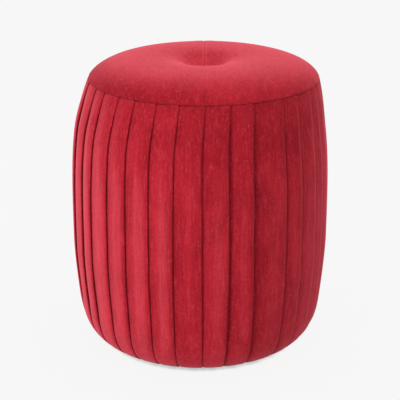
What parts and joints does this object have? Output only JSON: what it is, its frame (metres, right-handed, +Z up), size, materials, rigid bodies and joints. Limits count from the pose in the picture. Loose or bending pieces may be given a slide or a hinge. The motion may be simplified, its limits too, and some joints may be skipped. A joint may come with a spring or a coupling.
{
  "type": "pouf stool",
  "caption": "Round upholstered pouf stool: barrel body wrapped in knife pleats, smooth two-panel domed seat drawn down by a central tuft, low hidden glides.",
  "frame": {"origin": "on the floor under the middle of the stool, at the lowest point of the glides", "axes": "+Z up along the stool's axis; the front, where the seat's middle seam meets the shoulder seam, faces -Y; +X is to the right seen from the front"},
  "size_m": [0.4, 0.4, 0.4499],
  "materials": {
    "side_velvet": "crimson velvet with a short nap, pleated",
    "seat_velvet": "crimson velvet with a short nap, smooth",
    "button_velvet": "crimson velvet over a button shell",
    "cotton_tape": "plain woven cotton",
    "wadding": "white polyester wadding",
    "foam": "open-cell polyurethane foam",
    "zinc_steel": "zinc-plated wire and screws",
    "yellow_zinc": "yellow zinc-plated screws",
    "button_plastic": "moulded button back with an eye",
    "twine": "waxed tufting twine",
    "beech": "turned beech",
    "plywood": "raw birch plywood",
    "pine": "planed pine",
    "fibreboard": "bent hardboard",
    "dust_cloth": "black spunbond cloth",
    "glide_plastic": "moulded black plastic"
  },
  "bodies": {
    "root": {"pleated_side_cover": "side_velvet", "seat_cover_left": "seat_velvet", "seat_cover_right": "seat_velvet", "pleat_stay_tape": "cotton_tape", "side_wadding": "wadding", "seat_wadding": "wadding", "side_foam": "foam", "seat_foam": "foam", "button_cloth": "button_velvet", "button_shell": "zinc_steel", "button_back": "button_plastic", "tuft_twine": "twine", "twine_toggle": "beech", "top_board": "plywood", "base_board": "plywood", "drum_skin": "fibreboard", "post_1": "pine", "post_2": "pine", "post_3": "pine", "post_4": "pine", "post_5": "pine", "post_6": "pine", "skin_staples": "zinc_steel", "top_board_screws": "yellow_zinc", "base_board_screws": "yellow_zinc", "hem_staples": "zinc_steel", "dust_cover": "dust_cloth", "dust_cover_staples": "zinc_steel", "glide_1": "glide_plastic", "glide_2": "glide_plastic", "glide_3": "glide_plastic", "glide_4": "glide_plastic", "glide_screws": "zinc_steel"}
  },
  "joints": []
}
